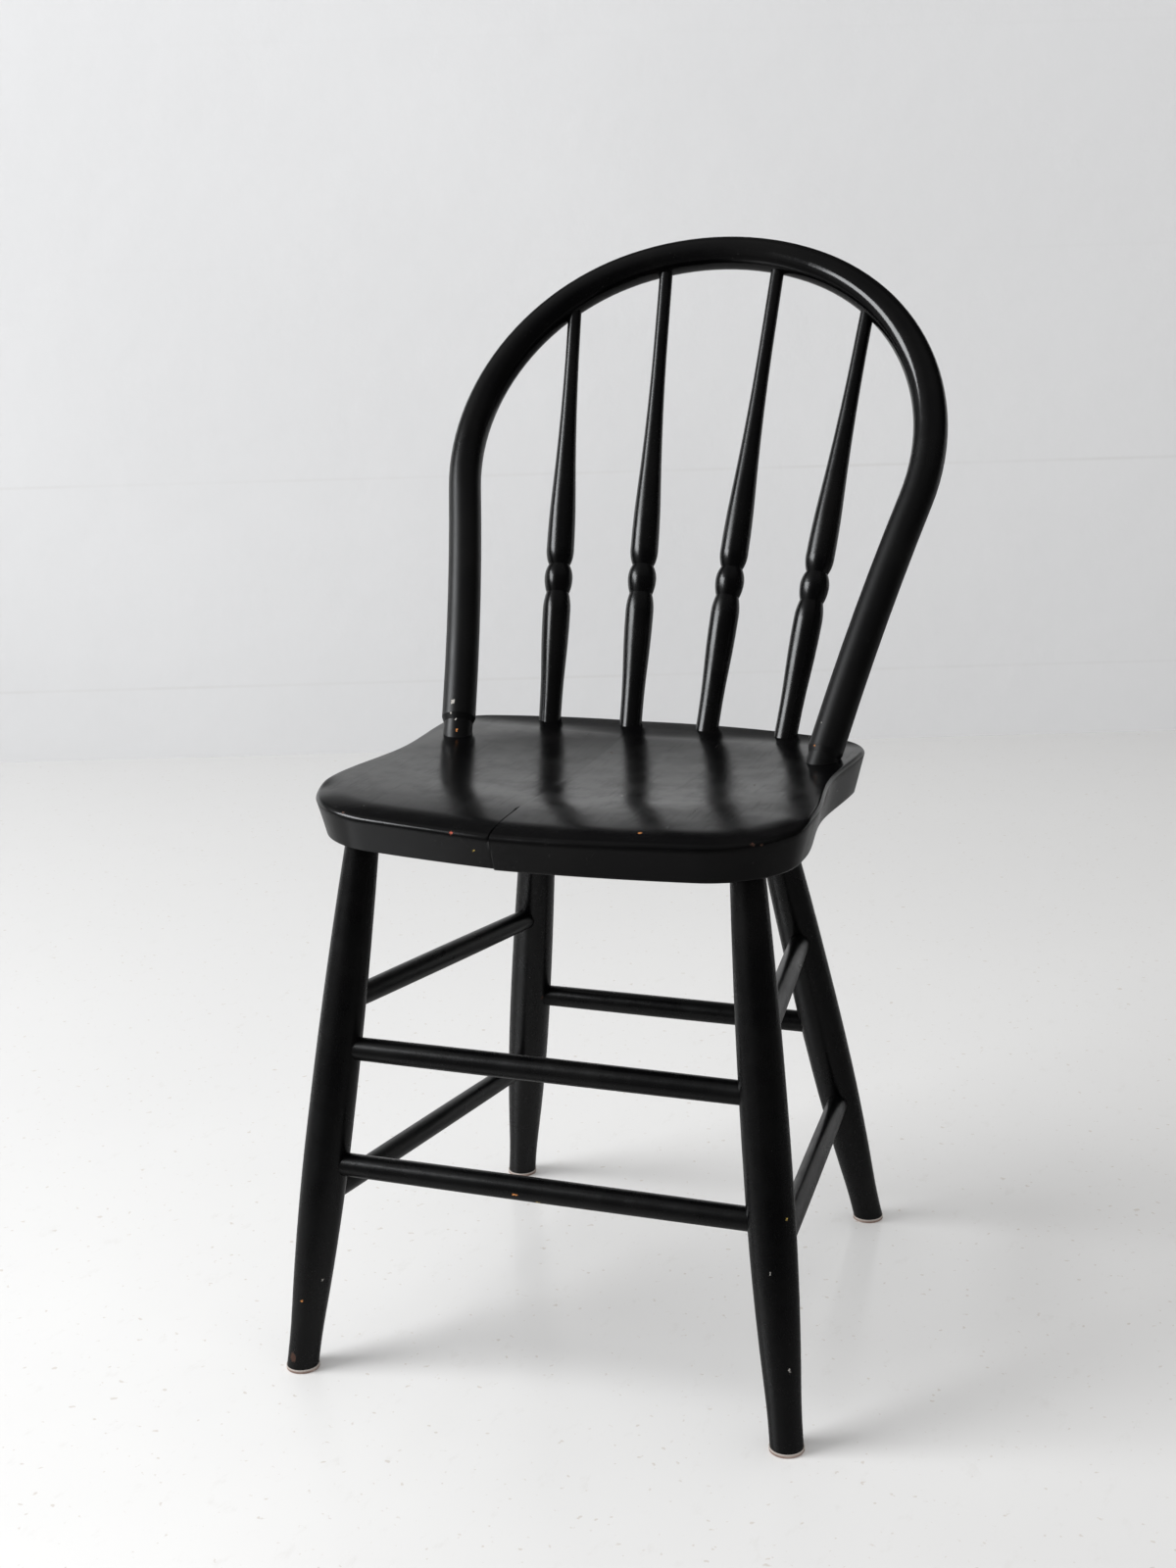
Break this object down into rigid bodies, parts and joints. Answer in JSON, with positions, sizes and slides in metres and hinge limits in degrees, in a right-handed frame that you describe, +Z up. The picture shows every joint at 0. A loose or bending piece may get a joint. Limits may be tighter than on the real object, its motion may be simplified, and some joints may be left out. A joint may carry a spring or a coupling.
{
  "type": "windsor chair",
  "caption": "Windsor side chair with a saddled seat, a bent bow over turned spindles, splayed turned legs and plain stretchers, in worn satin black paint",
  "frame": {"origin": "on the floor, under the middle of the space the chair fills", "axes": "+Z up, +Y to the back, +X to the right as seen from the front"},
  "size_m": [0.4362, 0.5528, 0.8443],
  "materials": {
    "painted_seat": "worn satin black paint",
    "painted_bow": "worn satin black paint",
    "painted_spindles": "worn satin black paint",
    "painted_undercarriage": "worn satin black paint",
    "foot_pad": "pale felt"
  },
  "bodies": {
    "root": {"bow": "painted_bow", "foot_pad_front_left": "foot_pad", "foot_pad_front_right": "foot_pad", "foot_pad_rear_left": "foot_pad", "foot_pad_rear_right": "foot_pad", "leg_front_left": "painted_undercarriage", "leg_front_right": "painted_undercarriage", "leg_rear_left": "painted_undercarriage", "leg_rear_right": "painted_undercarriage", "seat_board_left": "painted_seat", "seat_board_right": "painted_seat", "spindle_inner_left": "painted_spindles", "spindle_inner_right": "painted_spindles", "spindle_outer_left": "painted_spindles", "spindle_outer_right": "painted_spindles", "stretcher_back": "painted_undercarriage", "stretcher_front_lower": "painted_undercarriage", "stretcher_front_upper": "painted_undercarriage", "stretcher_left_lower": "painted_undercarriage", "stretcher_left_upper": "painted_undercarriage", "stretcher_right_lower": "painted_undercarriage", "stretcher_right_upper": "painted_undercarriage"}
  },
  "joints": []
}
